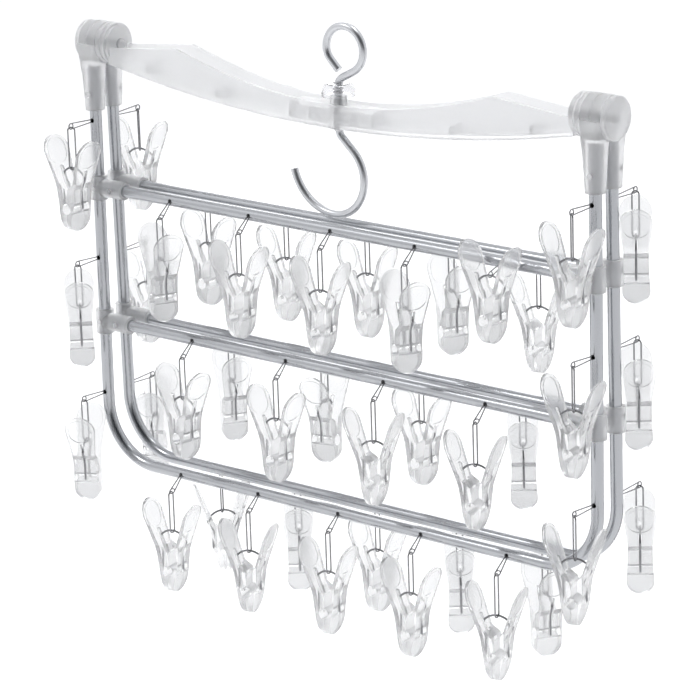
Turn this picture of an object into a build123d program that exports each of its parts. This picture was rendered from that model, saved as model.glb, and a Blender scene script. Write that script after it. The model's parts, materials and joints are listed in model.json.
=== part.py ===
"""Folding clip drying hanger, folded and hanging by the eye of its hook wire.

Row frame, in millimetres: +X along the fold hinge, +Z up, -Y towards the front frame.
The origin is the point inside the eye where a supporting hook bears, on the swivel axis.
"""
from build123d import *
from math import cos, radians, sin, tan
import os

os.makedirs("parts", exist_ok=True)

# Driving dimensions
TUBE_R = 4.0               # aluminium tube, outside radius
TUBE_BORE_R = 3.2
LEG_X = 206.0              # leg centre line from the middle
LEG_OUT = 8.0              # tube centre lines from the hinge plane
LEG_TOP = -15.0            # heights on a frame are counted from the hinge axis
BEND_R = 40.0              # lower corners of the U tube
SPLAY = 0.5                # each folded frame leans this many degrees outwards
BAR_HEIGHTS = {"upper": -98.3, "lower": -191.5, "bottom": -288.3}
SIDE_HEIGHTS = {"top": -52.2, "middle": -146.8, "low": -241.5}
WIDE_PITCH = 69.0          # clip spacing with five clips on a bar
LOWER_PITCH = 82.0         # clip spacing with four clips
FIT = 0.05                 # radial clearance of every running fit

# Hook wire
WIRE_R = 2.5
EYE_R = 15.0
HINGE_Z = -28.8            # hinge axis below the bearing point
CRIMP_HEIGHTS = (-8.2, -10.4, -34.8)
POLE_HOOK_R = 25.0

# Hinge ends
KNUCKLE_R = 14.0
KNUCKLE_W = 7.9
RIM_STEP = 0.7
AXLE_R = 2.5
RING_INNER_X = LEG_X - 8.0
RING_OUTER_X = LEG_X
CAP_X = LEG_X + 8.1
SOCKET_R = 6.2
SOCKET_BOTTOM = -45.0
LEDGE_OUT = 16.0

# T pieces
TEE_R = 6.1                # sleeve on the leg
TEE_BAR_R = 6.0            # sleeve on the bar
TEE_HALF = 8.2
TEE_REACH = 24.0           # from the leg's centre line to the open end of the bar sleeve
BAR_GAP = 7.0              # bar end to leg centre line

# Pins, links, springs and jaws
PIN_WIRE_R = 0.4
PIN_RING_R = 1.9
PIN_SPREAD = 0.85          # half the spread of the wires where they enter the tube
BAR_PIN_LENGTH = 13.0
SIDE_PIN_LENGTH = 20.4
PIN_DROOP = 42.0
RAISED_DROOP = 20.0
HOLE_R = 1.6
LINK_WIRE_R = 0.5
LINK_HALF_W = 2.3
LINK_LENGTH = 29.0
SPRING_WIRE_R = 0.65
PLAY = 0.3                 # gap left where wires hang on each other
JAW_GAP = 0.1              # half the gap between the closed jaws
JAW_TOP = 20.5
JAW_TIP = -43.0
HANDLE_HALF_W = 10.2
SLOT_HALF_W = 0.95

FRONT, BACK = -1, 1
HINGE_CENTRE = Vector(0, 0, HINGE_Z)


def frame_plane(side, out=0.0):
    """Plane of a folded frame: local x along the hinge, y up the legs, z outwards."""
    lean = radians(SPLAY)
    normal = Vector(0, side * cos(lean), sin(lean))
    return Plane(origin=HINGE_CENTRE + normal * out, x_dir=(-side, 0, 0), z_dir=normal)


def on_frame(side, x, height, out):
    """Point on a frame, in the row frame."""
    return frame_plane(side).from_local_coords(Vector(x, height, out))


def clip_plane(point, yaw):
    """Plane at a point with local z up and local x turned by yaw about the vertical."""
    return Plane(origin=point, x_dir=(cos(radians(yaw)), sin(radians(yaw)), 0), z_dir=(0, 0, 1))


def finish(part, name):
    """Label a finished piece and write it."""
    part.label = name
    export_step(part, "parts/" + name + ".step")


# Hook wire: eye, neck, straight shaft and pole hook, bent from one rod

def make_hook_wire():
    with BuildPart() as hook_wire:
        with BuildLine(Plane.XZ) as path:
            # eye, from the cut end of the wire round to the top of the shaft
            shaft_top = (0, HINGE_Z - 6.5)
            shaft_bottom = (0, HINGE_Z - 35.0)
            neck = JernArc(shaft_top, (0, 1), 7.0, -62)
            flank = Line(neck @ 1, (neck @ 1) + (neck % 1) * 11.0)
            eye = JernArc(flank @ 1, flank % 1, EYE_R, 242)
            return_bend = JernArc(eye @ 1, eye % 1, 10.0, 45)
            Line(return_bend @ 1, (return_bend @ 1) + (return_bend % 1) * 9.3)
            Line(shaft_top, shaft_bottom)
            # pole hook
            shoulder = JernArc(shaft_bottom, (0, -1), 5.0, 48)
            slant = Line(shoulder @ 1, (shoulder @ 1) + (shoulder % 1) * 12.2)
            belly = JernArc(slant @ 1, slant % 1, POLE_HOOK_R, -138)
            JernArc(belly @ 1, belly % 1, 34.0, -76)
        wire = path.wire()
        with BuildSketch(Plane(origin=wire @ 0, z_dir=wire % 0)):
            Circle(WIRE_R)
        sweep(path=wire)
    finish(hook_wire.part, "hook_wire")


def make_neck_crimps():
    with BuildPart() as neck_crimps:
        for height in CRIMP_HEIGHTS:
            with BuildSketch(Plane.XY.offset(HINGE_Z + height)):
                Circle(3.3)
                Circle(WIRE_R + FIT, mode=Mode.SUBTRACT)
            extrude(amount=1.5)
        fillet(neck_crimps.edges().filter_by(GeomType.CIRCLE).filter_by(lambda e: e.radius > 3.0), 0.3)
    finish(neck_crimps.part, "neck_crimps")


def make_neck_cap():
    """Clear round cap over the crimped neck, resting on the yoke's boss."""
    bottom = HINGE_Z - 12.2
    with BuildPart() as neck_cap:
        with BuildSketch(Plane.XZ):
            with BuildLine():
                outer = Polyline((3.9, bottom + 8.2), (7.2, bottom + 8.2))
                ThreePointArc(outer @ 1, (9.8, bottom + 5.6), (10.6, bottom))
                Polyline((10.6, bottom), (9.5, bottom))
                ThreePointArc((9.5, bottom), (8.8, bottom + 4.9), (6.7, bottom + 7.1))
                Polyline((6.7, bottom + 7.1), (3.9, bottom + 7.1), (3.9, bottom + 8.2))
            make_face()
        revolve(axis=Axis.Z)
    finish(neck_cap.part, "neck_cap")


# Yoke: channel moulding between the two hinge ends, open at the top

YOKE_END = 190.5
YOKE_HALF_W = 9.5
YOKE_WALL = 2.0
YOKE_DIP = -16.3
YOKE_FLOOR = -31.5
BOSS_TOP = -12.4


def make_yoke():
    def height(z):
        return HINGE_Z + z
    with BuildPart() as yoke:
        with BuildSketch(Plane.XZ):
            with BuildLine():
                ThreePointArc((-118, height(1.0)), (0, height(YOKE_DIP)), (118, height(1.0)))
                Polyline((118, height(1.0)), (130, height(4.6)), (YOKE_END, height(-1.5)),
                         (YOKE_END, height(-12.3)))
                ThreePointArc((YOKE_END, height(-12.3)), (0, height(YOKE_FLOOR)), (-YOKE_END, height(-12.3)))
                Polyline((-YOKE_END, height(-12.3)), (-YOKE_END, height(-1.5)), (-130, height(4.6)),
                         (-118, height(1.0)))
            make_face()
        extrude(amount=YOKE_HALF_W, both=True)
        with BuildSketch(Plane.XZ):
            with BuildLine():
                ThreePointArc((-YOKE_END, height(-9.9)), (0, height(YOKE_FLOOR + 2.2)), (YOKE_END, height(-9.9)))
                Polyline((YOKE_END, height(-9.9)), (YOKE_END, height(12)), (-YOKE_END, height(12)),
                         (-YOKE_END, height(-9.9)))
            make_face()
        extrude(amount=YOKE_HALF_W - YOKE_WALL, both=True, mode=Mode.SUBTRACT)
        # platform and cross ribs around the boss
        with BuildSketch(Plane.XY.offset(height(-20.0))):
            Rectangle(70, 2 * YOKE_HALF_W - 2.0)
        extrude(amount=1.8)
        for x in (-34.0, -17.0, 17.0, 34.0):
            with BuildSketch(Plane.YZ.offset(x - 0.8)):
                with Locations((0, height(-24.5))):
                    Rectangle(2 * YOKE_HALF_W - 2.0, 11.4)
            extrude(amount=1.6)
        for x in (-158.0, -96.0, 96.0, 158.0):
            with BuildSketch(Plane.YZ.offset(x - 0.8)):
                with Locations((0, height(YOKE_FLOOR + x * x / 1860.0 + 4.5))):
                    Rectangle(2 * YOKE_HALF_W - 2.0, 7.0)
            extrude(amount=1.6)
        with BuildSketch(Plane.XY.offset(height(YOKE_FLOOR - 1.5))):
            Circle(6.0)
        extrude(amount=BOSS_TOP - YOKE_FLOOR + 1.5, taper=2)
        with Locations((0, 0, height(-22))):
            Cylinder(WIRE_R + FIT, 40, mode=Mode.SUBTRACT)
        # hinge flanges with a raised outer bead
        for way in (-1, 1):
            with BuildSketch(Plane(origin=(way * (YOKE_END - 1.5), 0, HINGE_Z), z_dir=(way, 0, 0))):
                Circle(12.2)
            extrude(amount=7.0)
            with BuildSketch(Plane(origin=(way * (YOKE_END + 0.5), 0, HINGE_Z), z_dir=(way, 0, 0))):
                Circle(KNUCKLE_R - 0.2)
            extrude(amount=2.6)
            with BuildSketch(Plane(origin=(way * (YOKE_END + 4.6), 0, HINGE_Z), z_dir=(way, 0, 0))):
                Circle(KNUCKLE_R - 0.2)
            extrude(amount=2.7)
            with BuildSketch(Plane(origin=(way * (YOKE_END - 3), 0, HINGE_Z), z_dir=(way, 0, 0))):
                Circle(AXLE_R + FIT)
            extrude(amount=16, mode=Mode.SUBTRACT)
    finish(yoke.part, "yoke")


def make_axles_and_caps():
    def end_plane(way, x):
        return Plane(origin=(way * x, 0, HINGE_Z), z_dir=(way, 0, 0))

    with BuildPart() as axles:
        for way in (-1, 1):
            with BuildSketch(end_plane(way, YOKE_END - 2)):
                Circle(AXLE_R)
            extrude(amount=CAP_X - YOKE_END + 3.6)
            with BuildSketch(end_plane(way, YOKE_END - 4)):
                Circle(3.6)
            extrude(amount=1.9)
    finish(axles.part, "axles")
    with BuildPart() as end_caps:
        for way in (-1, 1):
            with BuildSketch(end_plane(way, CAP_X)):
                Circle(KNUCKLE_R - 0.2)
            extrude(amount=2.4)
            with BuildSketch(end_plane(way, CAP_X + 2.4)):
                Circle(KNUCKLE_R - 0.2)
            extrude(amount=1.0, taper=40)
            with BuildSketch(end_plane(way, CAP_X)):
                Circle(AXLE_R + FIT)
            extrude(amount=1.9, mode=Mode.SUBTRACT)
    finish(end_caps.part, "end_caps")


# Hinge sockets: knuckle ring and a body that holds the leg tube

def make_socket(side, way, name):
    """The front right and back left sockets carry the inner ring; the others carry the outer one.

    way is +1 at the frame's own local +x end, which carries the inner ring.
    """
    plane = frame_plane(side)
    ring_x = RING_INNER_X if way > 0 else RING_OUTER_X
    other_x = RING_OUTER_X if way > 0 else RING_INNER_X
    across = plane.x_dir * way

    def end_plane(x):
        return Plane(origin=HINGE_CENTRE + across * x, x_dir=plane.z_dir, z_dir=across)

    with BuildPart() as socket:
        # body, from the stop ledge at the axis down to the round sleeve
        with BuildSketch(Plane(origin=HINGE_CENTRE, x_dir=plane.x_dir, z_dir=plane.y_dir)):
            with Locations((way * LEG_X, -(LEDGE_OUT + 1.4) / 2)):
                RectangleRounded(15.9, LEDGE_OUT - 1.4, 2.0)
        with BuildSketch(Plane(origin=HINGE_CENTRE + plane.y_dir * -22, x_dir=plane.x_dir, z_dir=plane.y_dir)):
            with Locations((way * LEG_X, -LEG_OUT)):
                RectangleRounded(14.4, 13.6, 5.4)
        with BuildSketch(Plane(origin=HINGE_CENTRE + plane.y_dir * SOCKET_BOTTOM, x_dir=plane.x_dir,
                               z_dir=plane.y_dir)):
            with Locations((way * LEG_X, -LEG_OUT)):
                RectangleRounded(2 * SOCKET_R, 2 * SOCKET_R, SOCKET_R - 0.3)
        loft(ruled=True)
        # room for the other frame's ring
        with BuildSketch(end_plane(other_x - 0.1)):
            Circle(KNUCKLE_R + 0.3)
        extrude(amount=8.3, mode=Mode.SUBTRACT)
        # own ring, stepped at both rims
        with BuildSketch(end_plane(ring_x)):
            Circle(KNUCKLE_R - RIM_STEP)
        extrude(amount=KNUCKLE_W)
        with BuildSketch(end_plane(ring_x + RIM_STEP)):
            Circle(KNUCKLE_R)
        extrude(amount=KNUCKLE_W - 2 * RIM_STEP)
        with BuildSketch(end_plane(ring_x - 4)):
            Circle(AXLE_R + FIT)
        extrude(amount=16, mode=Mode.SUBTRACT)
        # tube socket
        with BuildSketch(Plane(origin=on_frame(side, way * LEG_X, SOCKET_BOTTOM - 1, LEG_OUT),
                               z_dir=plane.y_dir)):
            Circle(TUBE_R + FIT)
        extrude(amount=LEG_TOP - SOCKET_BOTTOM + 1, mode=Mode.SUBTRACT)
        # screw hole
        with BuildSketch(Plane(origin=on_frame(side, way * LEG_X, SCREW_SOCKET_H, LEG_OUT), z_dir=plane.z_dir)):
            Circle(SCREW_R + FIT)
        extrude(amount=10, mode=Mode.SUBTRACT)
        with BuildSketch(Plane(origin=on_frame(side, way * LEG_X, SCREW_SOCKET_H, LEG_OUT + SCREW_SEAT),
                               z_dir=plane.z_dir)):
            Circle(SCREW_HEAD_R + FIT)
        extrude(amount=6, mode=Mode.SUBTRACT)
    finish(socket.part, name)


# Screws that hold the tubes in the sockets and T pieces

SCREW_R = 1.0
SCREW_HEAD_R = 1.9
SCREW_SEAT = 5.5           # seat of the head above the tube's centre line
SCREW_SOCKET_H = -34.0
TEE_SCREW_X = 15.0


def screw_places(side):
    """Plane of every screw of a frame, on its tube's centre line and pointing outwards."""
    normal = frame_plane(side).z_dir
    places = [(way * LEG_X, SCREW_SOCKET_H) for way in (-1, 1)]
    for bar in ("upper", "lower"):
        for way in (-1, 1):
            places.append((way * LEG_X, BAR_HEIGHTS[bar]))
            places.append((way * (LEG_X - TEE_SCREW_X), BAR_HEIGHTS[bar]))
    return [Plane(origin=on_frame(side, x, h, LEG_OUT), z_dir=normal) for x, h in places]


def make_screws(side, name):
    with BuildPart() as screws:
        for place in screw_places(side):
            with BuildSketch(place.offset(TUBE_BORE_R - 1.0)):
                Circle(SCREW_R)
            extrude(amount=SCREW_SEAT + 0.1 - TUBE_BORE_R + 1.0)
            with BuildSketch(place.offset(SCREW_SEAT + 0.05)):
                Circle(SCREW_HEAD_R)
            extrude(amount=0.7)
    finish(screws.part, name)


# Tubes

def hole_places(side, x, height):
    """Plane of a clip hole, on the tube's centre line and pointing outwards."""
    return Plane(origin=on_frame(side, x, height, LEG_OUT), z_dir=frame_plane(side).z_dir)


def make_frame_tube(side, name):
    plane = frame_plane(side, LEG_OUT)
    bottom = BAR_HEIGHTS["bottom"]
    with BuildPart() as tube:
        with BuildLine(plane) as path:
            FilletPolyline((-LEG_X, LEG_TOP - 0.2), (-LEG_X, bottom), (LEG_X, bottom), (LEG_X, LEG_TOP - 0.2),
                           radius=BEND_R)
        wire = path.wire()
        with BuildSketch(Plane(origin=wire @ 0, z_dir=wire % 0)):
            Circle(TUBE_R)
            Circle(TUBE_BORE_R, mode=Mode.SUBTRACT)
        sweep(path=wire)
        holes = [(x, bottom) for x in row_positions("bottom")]
        holes += [(way * LEG_X, h) for h in SIDE_HEIGHTS.values() for way in (-1, 1)]
        for x, h in holes:
            with BuildSketch(hole_places(side, x, h)):
                Circle(HOLE_R)
            extrude(amount=6, mode=Mode.SUBTRACT)
        for place in screw_places(side):
            if abs(place.origin.X) > LEG_X - 1:
                with BuildSketch(place):
                    Circle(SCREW_R + FIT)
                extrude(amount=6, mode=Mode.SUBTRACT)
    finish(tube.part, name)


def make_bar(side, bar, name):
    height = BAR_HEIGHTS[bar]
    half = LEG_X - BAR_GAP
    along = frame_plane(side).x_dir
    with BuildPart() as tube:
        with BuildSketch(Plane(origin=on_frame(side, -half, height, LEG_OUT), z_dir=along)):
            Circle(TUBE_R)
            Circle(TUBE_BORE_R, mode=Mode.SUBTRACT)
        extrude(amount=2 * half)
        for x in row_positions(bar):
            with BuildSketch(hole_places(side, x, height)):
                Circle(HOLE_R)
            extrude(amount=6, mode=Mode.SUBTRACT)
        for way in (-1, 1):
            with BuildSketch(hole_places(side, way * (LEG_X - TEE_SCREW_X), height)):
                Circle(SCREW_R + FIT)
            extrude(amount=6, mode=Mode.SUBTRACT)
    finish(tube.part, name)


def make_tees(side, bar, name):
    """T pieces that join a cross bar to the two legs."""
    plane = frame_plane(side)
    height = BAR_HEIGHTS[bar]
    with BuildPart() as tees:
        for way in (-1, 1):
            inward = plane.x_dir * -way
            with BuildSketch(Plane(origin=on_frame(side, way * LEG_X, height - TEE_HALF, LEG_OUT),
                                   z_dir=plane.y_dir)):
                Circle(TEE_R)
            extrude(amount=2 * TEE_HALF)
            with BuildSketch(Plane(origin=on_frame(side, way * LEG_X, height, LEG_OUT), z_dir=inward)):
                Circle(TEE_BAR_R)
            extrude(amount=TEE_REACH)
        for way in (-1, 1):
            inward = plane.x_dir * -way
            with BuildSketch(Plane(origin=on_frame(side, way * LEG_X, height - TEE_HALF - 1, LEG_OUT),
                                   z_dir=plane.y_dir)):
                Circle(TUBE_R + FIT)
            extrude(amount=2 * TEE_HALF + 2, mode=Mode.SUBTRACT)
            with BuildSketch(Plane(origin=on_frame(side, way * (LEG_X - BAR_GAP + 0.2), height, LEG_OUT),
                                   z_dir=inward)):
                Circle(TUBE_R + FIT)
            extrude(amount=TEE_REACH, mode=Mode.SUBTRACT)
            for x in (LEG_X, LEG_X - TEE_SCREW_X):
                with BuildSketch(hole_places(side, way * x, height)):
                    Circle(SCREW_R + FIT)
                extrude(amount=9, mode=Mode.SUBTRACT)
                with BuildSketch(hole_places(side, way * x, height).offset(SCREW_SEAT)):
                    Circle(SCREW_HEAD_R + FIT)
                extrude(amount=5, mode=Mode.SUBTRACT)
    finish(tees.part, name)


# Clip parts, each drawn once in its own place and then repeated

def draw_pin(length, footed=True):
    """Hairpin with a ring: local z runs from the tube wall to the ring, local x is its spread."""
    with BuildPart() as pin:
        for way in (-1, 1):
            points = [(way * PIN_SPREAD, -1.4), (way * PIN_SPREAD, 0.6), (way * PIN_RING_R, length)]
            if footed:
                points.insert(0, (way * 1.7, -1.4))
            with BuildLine(Plane.XZ) as leg:
                Polyline(*points)
            wire = leg.wire()
            with BuildSketch(Plane(origin=wire @ 0, z_dir=wire % 0)):
                Circle(PIN_WIRE_R)
            sweep(path=wire, transition=Transition.RIGHT)
        with Locations(Plane(origin=(0, 0, length), z_dir=(0, 1, 0))):
            Torus(PIN_RING_R, PIN_WIRE_R)
    return pin.part


def draw_link():
    """Closed narrow loop, its top wire's centre line at the origin."""
    top = (0, -LINK_HALF_W)
    bottom = (0, LINK_HALF_W - LINK_LENGTH)
    with BuildPart() as link:
        with BuildLine(Plane.XZ) as loop:
            CenterArc(top, LINK_HALF_W, 0, 180)
            Line((-LINK_HALF_W, top[1]), (-LINK_HALF_W, bottom[1]))
            CenterArc(bottom, LINK_HALF_W, 180, 180)
            Line((LINK_HALF_W, bottom[1]), (LINK_HALF_W, top[1]))
        wire = loop.wire()
        with BuildSketch(Plane(origin=wire @ 0, z_dir=wire % 0)):
            Circle(LINK_WIRE_R)
        sweep(path=wire)
    return link.part


SPRING_BOW_R = 11.8
SPRING_BEND_R = 1.5


def draw_spring():
    """Bent wire over both jaws, the top of its bow at the origin, in the local XZ plane."""
    with BuildPart() as spring:
        for way in (-1, 1):
            with BuildLine(Plane.XZ) as path:
                bow = JernArc((0, 0), (way, 0), SPRING_BOW_R, -way * 62)
                kink = JernArc(bow @ 1, bow % 1, SPRING_BEND_R, -way * 57)
                inward = Line(kink @ 1, (kink @ 1) + (kink % 1) * 6.6)
                waist = JernArc(inward @ 1, inward % 1, SPRING_BEND_R, way * 31)
                Line(waist @ 1, (waist @ 1) + (waist % 1) * 12.6)
            wire = path.wire()
            with BuildSketch(Plane(origin=wire @ 0, z_dir=wire % 0)):
                Circle(SPRING_WIRE_R)
            sweep(path=wire)
    return spring.part


def draw_jaw():
    """One jaw on the +x side of the clip, with the top of the spring's bow at the origin."""
    relief = JAW_GAP + 4.5 * tan(radians(13))
    with BuildPart() as jaw:
        with BuildSketch(Plane.XZ):
            with BuildLine():
                Polyline((JAW_GAP, JAW_TIP), (2.8, JAW_TIP), (6.2, -30), (8.6, -14), (19.6, JAW_TOP),
                         (17.6, JAW_TOP), (6.6, -9.5), (relief, -13.5), (JAW_GAP, -18), (JAW_GAP, -23.4))
                ThreePointArc((JAW_GAP, -23.4), (3.7, -27.05), (JAW_GAP, -30.7))
                Line((JAW_GAP, -30.7), (JAW_GAP, JAW_TIP))
            make_face()
        extrude(amount=HANDLE_HALF_W + 1, both=True)
        # rounded handle, waist and rounded tip, as seen from the side
        with BuildSketch(Plane.YZ):
            with BuildLine():
                ThreePointArc((HANDLE_HALF_W, 10.5), (0, JAW_TOP), (-HANDLE_HALF_W, 10.5))
                Polyline((-HANDLE_HALF_W, 10.5), (-7.7, -9), (-7.9, -24), (-8.7, -34.6))
                ThreePointArc((-8.7, -34.6), (0, JAW_TIP), (8.7, -34.6))
                Polyline((8.7, -34.6), (7.9, -24), (7.7, -9), (HANDLE_HALF_W, 10.5))
            make_face()
        extrude(amount=30, mode=Mode.INTERSECT)
        # shallow hollow in the outer face of the handle, which leaves a rim
        with BuildSketch(Plane(origin=(16.15, 0, 9.5), x_dir=(0, 1, 0), z_dir=(34.5, 0, -11))):
            RectangleRounded(15.6, 17.5, 7.0)
        extrude(amount=-0.8, mode=Mode.SUBTRACT)
        # slot for the spring
        with BuildSketch(Plane.XZ):
            with BuildLine():
                Polyline((5.4, -29), (16, -29), (16, 0), (5.4, 0), (5.4, -29))
            make_face()
        extrude(amount=SLOT_HALF_W, both=True, mode=Mode.SUBTRACT)
    return jaw.part


# Where the clips hang: local x on the frame and the turn of each clip about the vertical

def row_positions(bar):
    if bar == "lower":
        return [(i - 1.5) * LOWER_PITCH for i in range(4)]
    return [(i - 2) * WIDE_PITCH for i in range(5)]


CLIP_TURNS = {
    (FRONT, "upper"): (-27, 5, 8, -26, 0),
    (FRONT, "lower"): (-6, 0, 15, 14),
    (FRONT, "bottom"): (10, 18, 6, 4, 15),
    (BACK, "upper"): (12, -29, 5, 8, -5),
    (BACK, "lower"): (-52, -2, -77, -35),
    (BACK, "bottom"): (-30, -50, 3, -50, 55),
    (FRONT, "top"): (-3, 5),
    (FRONT, "middle"): (-46, 9),
    (FRONT, "low"): (-61, 16),
    (BACK, "top"): (-54, 9),
    (BACK, "middle"): (-50, 0),
    (BACK, "low"): (-54, -60),
}
RAISED = (FRONT, "upper", 4)       # this clip's spring is hooked straight on its pin


def wrap(angle):
    """The same line direction, between -90 and 90 degrees."""
    return (angle + 90) % 180 - 90


class Hanging:
    """Places of one clip and of the wires it hangs by."""

    def __init__(self, side, row, index):
        plane = frame_plane(side)
        on_bar = row in BAR_HEIGHTS
        self.raised = (side, row, index) == RAISED
        if on_bar:
            x = row_positions(row)[index]
            height = BAR_HEIGHTS[row]
            droop = radians(RAISED_DROOP if self.raised else PIN_DROOP)
            direction = plane.z_dir * cos(droop) - plane.y_dir * sin(droop)
            spread = plane.x_dir
            length = BAR_PIN_LENGTH
            ring_low = direction
            if self.raised:
                spread = direction.cross(plane.x_dir)
                ring_low = plane.y_dir * -1
        else:
            x = (-LEG_X, LEG_X)[index]
            height = SIDE_HEIGHTS[row]
            direction = plane.z_dir
            spread = plane.y_dir
            length = SIDE_PIN_LENGTH
            ring_low = plane.y_dir * -1
        wall = on_frame(side, x, height, LEG_OUT + TUBE_R - 0.4)
        self.pin = Plane(origin=wall, x_dir=spread, z_dir=direction).location
        self.turn = CLIP_TURNS[(side, row)][index]
        hang = wall + direction * length + ring_low * PIN_RING_R
        default = 90 if on_bar else 0
        link_turn = default + 0.45 * wrap(self.turn + 90 - default)
        link_top = hang + Vector(0, 0, PIN_WIRE_R + LINK_WIRE_R + PLAY)
        bow_top = link_top + Vector(0, 0, LINK_WIRE_R + SPRING_WIRE_R + PLAY - LINK_LENGTH)
        if self.raised:
            bow_top = hang + Vector(0, 0, PIN_WIRE_R + SPRING_WIRE_R + PLAY)
        self.hang = hang
        self.bow_top = bow_top
        self.link = clip_plane(link_top, link_turn).location
        self.clip = clip_plane(bow_top, self.turn).location
        self.clip_back = clip_plane(bow_top, self.turn + 180).location


def repeat(shape, locations, name):
    """Write one node that holds a copy of the shape at every location."""
    with BuildPart() as group:
        with Locations(*locations):
            add(shape)
    finish(group.part, name)


def make_clips():
    bar_pin = draw_pin(BAR_PIN_LENGTH)
    raised_pin = draw_pin(BAR_PIN_LENGTH, footed=False)
    side_pin = draw_pin(SIDE_PIN_LENGTH)
    link = draw_link()
    spring = draw_spring()
    jaw = draw_jaw()

    def write_wires(hangings, name):
        with BuildPart() as wires:
            with Locations(*[h.clip for h in hangings]):
                add(spring)
            with Locations(*[h.link for h in hangings]):
                add(link)
        finish(wires.part, name)

    for side, word in ((FRONT, "front"), (BACK, "back")):
        for bar in BAR_HEIGHTS:
            every = [Hanging(side, bar, i) for i in range(len(row_positions(bar)))]
            hangings = [h for h in every if not h.raised]
            prefix = word + "_" + bar + "_"
            with BuildPart() as pins:
                with Locations(*[h.pin for h in hangings]):
                    add(bar_pin)
                for h in every:
                    if h.raised:
                        with Locations(h.pin):
                            add(raised_pin)
            finish(pins.part, prefix + "pins")
            write_wires(hangings, prefix + "links_and_springs")
            repeat(jaw, [place for h in hangings for place in (h.clip, h.clip_back)], prefix + "jaws")
        sides = {row: [Hanging(side, row, i) for i in (0, 1)] for row in SIDE_HEIGHTS}
        repeat(side_pin, [h.pin for pair in sides.values() for h in pair], word + "_side_pins")
        for row, pair in sides.items():
            if (side, row) == (FRONT, "middle"):
                pair = pair[:1]
            prefix = word + "_side_" + row + "_"
            write_wires(pair, prefix + "links_and_springs")
            repeat(jaw, [place for h in pair for place in (h.clip, h.clip_back)], prefix + "jaws")
    # the clip whose spring hooks straight on its pin
    raised = Hanging(*RAISED)
    repeat(spring, [raised.clip], "raised_clip_spring")
    repeat(jaw, [raised.clip, raised.clip_back], "raised_clip_jaws")
    # one clip in separate pieces, so that its jaws open
    open_clip = Hanging(FRONT, "middle", 1)
    repeat(link, [open_clip.link], "open_clip_link")
    repeat(spring, [open_clip.clip], "open_clip_spring")
    repeat(jaw, [open_clip.clip], "open_clip_jaw_right")
    repeat(jaw, [open_clip.clip_back], "open_clip_jaw_left")


def make_frame(side, word):
    # the frame's local +x end is the row's +X end on the front frame and its -X end on the back
    ends = {1: "right", -1: "left"} if side == FRONT else {1: "left", -1: "right"}
    for way in (-1, 1):
        make_socket(side, way, "socket_" + word + "_" + ends[way])
    make_frame_tube(side, word + "_tube")
    for bar in ("upper", "lower"):
        make_bar(side, bar, word + "_" + bar + "_bar")
        make_tees(side, bar, word + "_" + bar + "_tees")
    make_screws(side, word + "_screws")


def main():
    make_hook_wire()
    make_neck_crimps()
    make_neck_cap()
    make_yoke()
    make_axles_and_caps()
    make_frame(FRONT, "front")
    make_frame(BACK, "back")
    make_clips()


main()
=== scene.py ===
"""Looks of the folding clip drying hanger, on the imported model's own frame, in metres."""

import json

import bpy
from mathutils import Matrix, Vector

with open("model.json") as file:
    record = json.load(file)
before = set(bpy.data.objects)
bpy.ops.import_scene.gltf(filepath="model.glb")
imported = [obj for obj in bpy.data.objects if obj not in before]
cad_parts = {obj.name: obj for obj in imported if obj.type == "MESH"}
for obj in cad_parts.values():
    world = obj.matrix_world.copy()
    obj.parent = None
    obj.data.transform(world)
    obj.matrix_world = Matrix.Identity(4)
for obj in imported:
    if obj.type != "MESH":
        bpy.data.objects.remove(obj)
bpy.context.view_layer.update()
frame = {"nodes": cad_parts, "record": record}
nodes = frame["nodes"]


# Materials

def new_material(name, base, metallic=0.0, roughness=0.4, **more):
    """A Principled material with its constants on the shader's own sockets."""
    material = bpy.data.materials.new(name)
    material.use_nodes = True
    shader = material.node_tree.nodes["Principled BSDF"]
    shader.inputs["Base Color"].default_value = (*base, 1)
    shader.inputs["Metallic"].default_value = metallic
    shader.inputs["Roughness"].default_value = roughness
    for socket, value in more.items():
        shader.inputs[socket.replace("_", " ")].default_value = value
    return material


def add_node(material, kind, **inputs):
    node = material.node_tree.nodes.new(kind)
    for socket, value in inputs.items():
        node.inputs[socket.replace("_", " ")].default_value = value
    return node


def grain(material, scale, stretch, bump, roughness_range, base_range=None):
    """Fine grain: noise drives the roughness, a slight bump and, where it has a range, the colour."""
    tree = material.node_tree
    shader = tree.nodes["Principled BSDF"]
    place = add_node(material, "ShaderNodeTexCoord")
    mapping = add_node(material, "ShaderNodeMapping", Scale=stretch)
    noise = add_node(material, "ShaderNodeTexNoise", Scale=scale, Detail=6.0, Roughness=0.6)
    tree.links.new(place.outputs["Object"], mapping.inputs["Vector"])
    tree.links.new(mapping.outputs["Vector"], noise.inputs["Vector"])
    rough = add_node(material, "ShaderNodeMapRange", To_Min=roughness_range[0], To_Max=roughness_range[1])
    tree.links.new(noise.outputs["Fac"], rough.inputs["Value"])
    tree.links.new(rough.outputs["Result"], shader.inputs["Roughness"])
    if base_range:
        ramp = add_node(material, "ShaderNodeValToRGB")
        ramp.color_ramp.elements[0].position = 0.3
        ramp.color_ramp.elements[0].color = (*base_range[0], 1)
        ramp.color_ramp.elements[1].position = 0.7
        ramp.color_ramp.elements[1].color = (*base_range[1], 1)
        tree.links.new(noise.outputs["Fac"], ramp.inputs["Fac"])
        tree.links.new(ramp.outputs["Color"], shader.inputs["Base Color"])
    if bump:
        bumper = add_node(material, "ShaderNodeBump", Strength=bump, Distance=0.0002)
        tree.links.new(noise.outputs["Fac"], bumper.inputs["Height"])
        tree.links.new(bumper.outputs["Normal"], shader.inputs["Normal"])


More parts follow.
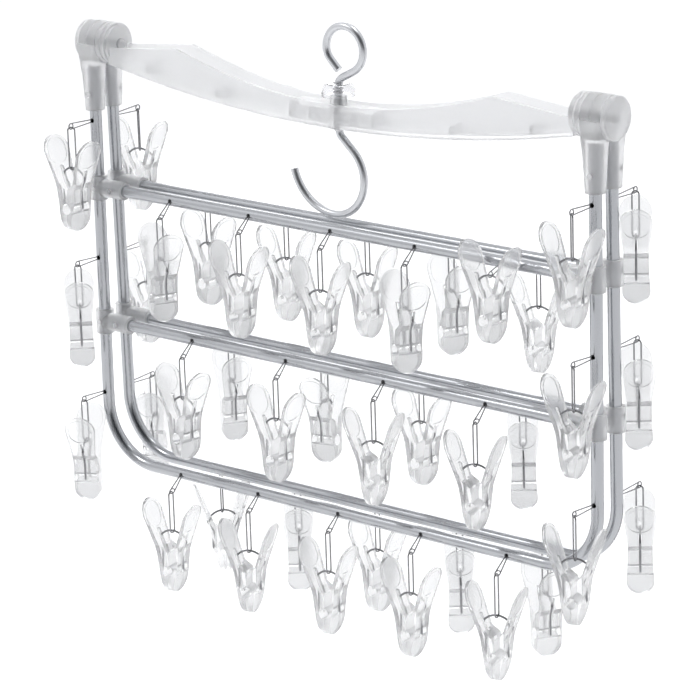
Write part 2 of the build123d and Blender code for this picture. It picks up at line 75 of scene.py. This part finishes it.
MATERIALS = {
    "hook_wire_satin": new_material("satin_wire", (0.60, 0.61, 0.63), 1.0, 0.36),
    "steel_small": new_material("small_steel", (0.55, 0.55, 0.56), 1.0, 0.2),
    "clear_cap": new_material("clear_cap", (0.99, 0.99, 1.0), 0.0, 0.05,
                              Transmission_Weight=0.95, IOR=1.4),
    "frosted_plastic": new_material("frosted_plastic", (0.98, 0.985, 0.99), 0.0, 0.36,
                                    Transmission_Weight=0.76, IOR=1.24),
    "aluminium_tube": new_material("satin_aluminium", (0.44, 0.45, 0.47), 1.0, 0.24),
    "clear_clip": new_material("clear_clip", (0.985, 0.988, 0.992), 0.0, 0.2,
                               Transmission_Weight=0.8, IOR=1.33),
    "spring_wire": new_material("spring_wire", (0.24, 0.24, 0.25), 1.0, 0.24),
}
EVEN = (1, 1, 1)
# slot: noise scale, bump strength, roughness range, and the two ends of a colour range
GRAIN = {
    "hook_wire_satin": (1800, 0.03, (0.3, 0.4), ((0.57, 0.58, 0.6), (0.64, 0.65, 0.67))),
    "steel_small": (700, 0.04, (0.16, 0.3), None),
    "clear_cap": (220, 0.02, (0.03, 0.1), None),
    "frosted_plastic": (420, 0.1, (0.32, 0.42), ((0.96, 0.965, 0.97), (0.99, 0.99, 0.995))),
    "aluminium_tube": (1600, 0.012, (0.2, 0.27), ((0.42, 0.43, 0.45), (0.46, 0.47, 0.49))),
    "clear_clip": (260, 0.05, (0.14, 0.26), None),
    "spring_wire": (900, 0.03, (0.18, 0.3), None),
}
for slot_name, (scale, bump, roughness_range, base_range) in GRAIN.items():
    grain(MATERIALS[slot_name], scale, EVEN, bump, roughness_range, base_range)

for part in frame["record"]["subparts"]:
    thing = nodes[part["node"]]
    thing.data.materials.clear()
    thing.data.materials.append(MATERIALS[part["material_slot"]])


# Studio: pale floor, soft light

HINGE_Z = -0.0288           # the frames' hinge axis
FLOOR_Z = -0.62
FLOOR_SIZE = 14
AIM = (0, 0, -0.2)          # where the lights point


def stage_material():
    material = new_material("studio_white", (0.95, 0.95, 0.955), 0.0, 0.8, Emission_Strength=0.3,
                            Emission_Color=(1, 1, 1, 1))
    grain(material, 3.0, EVEN, 0.0, (0.75, 0.85))
    return material


bpy.ops.mesh.primitive_plane_add(size=FLOOR_SIZE, location=(-1.0, 1.0, FLOOR_Z))
floor = bpy.context.object
floor.name = "studio_floor"
floor.data.materials.append(stage_material())


def area_light(name, place, size, watts):
    light = bpy.data.lights.new(name, "AREA")
    light.shape = "DISK"
    light.size = size
    light.energy = watts
    lamp = bpy.data.objects.new(name, light)
    lamp.location = place
    lamp.rotation_euler = (Vector(AIM) - Vector(place)).to_track_quat("-Z", "Y").to_euler()
    bpy.context.collection.objects.link(lamp)


area_light("key_light", (-1.2, -1.5, 1.7), 0.5, 11)
area_light("top_light", (0.3, 0.2, 2.0), 0.6, 9)
area_light("rim_light", (-1.4, 1.6, 0.5), 0.8, 5)

# white studio all round, darker on the side where the photographer stands
world = bpy.data.worlds.new("studio_world")
bpy.context.scene.world = world
world.use_nodes = True
tree = world.node_tree
direction = tree.nodes.new("ShaderNodeTexCoord")
towards = tree.nodes.new("ShaderNodeVectorMath")
towards.operation = "DOT_PRODUCT"
towards.inputs[1].default_value = (0.62, -0.75, 0.22)
ramp = tree.nodes.new("ShaderNodeValToRGB")
ramp.color_ramp.elements[0].position = 0.3
ramp.color_ramp.elements[0].color = (0.98, 0.985, 1.0, 1)
ramp.color_ramp.elements[1].position = 0.75
ramp.color_ramp.elements[1].color = (0.06, 0.062, 0.068, 1)
tree.links.new(direction.outputs["Generated"], towards.inputs[0])
tree.links.new(towards.outputs["Value"], ramp.inputs["Fac"])
tree.links.new(ramp.outputs["Color"], tree.nodes["Background"].inputs["Color"])

# Camera, square on to no face, seen from the front right and a little above

camera_data = bpy.data.cameras.new("camera")
camera_data.sensor_width = 36
camera_data.lens = 186.56
camera_data.clip_end = 50
camera = bpy.data.objects.new("camera", camera_data)
bpy.context.collection.objects.link(camera)
right = Vector((0.7680, 0.6397, -0.0313))
up = Vector((-0.1621, 0.2415, 0.9568))
back = right.cross(up)
turn = Matrix((right, up, back)).transposed().to_4x4()
camera.matrix_world = Matrix.Translation((1.4506, -1.7053, 0.4960 + HINGE_Z)) @ turn
bpy.context.scene.camera = camera
bpy.context.scene.view_settings.view_transform = "Standard"
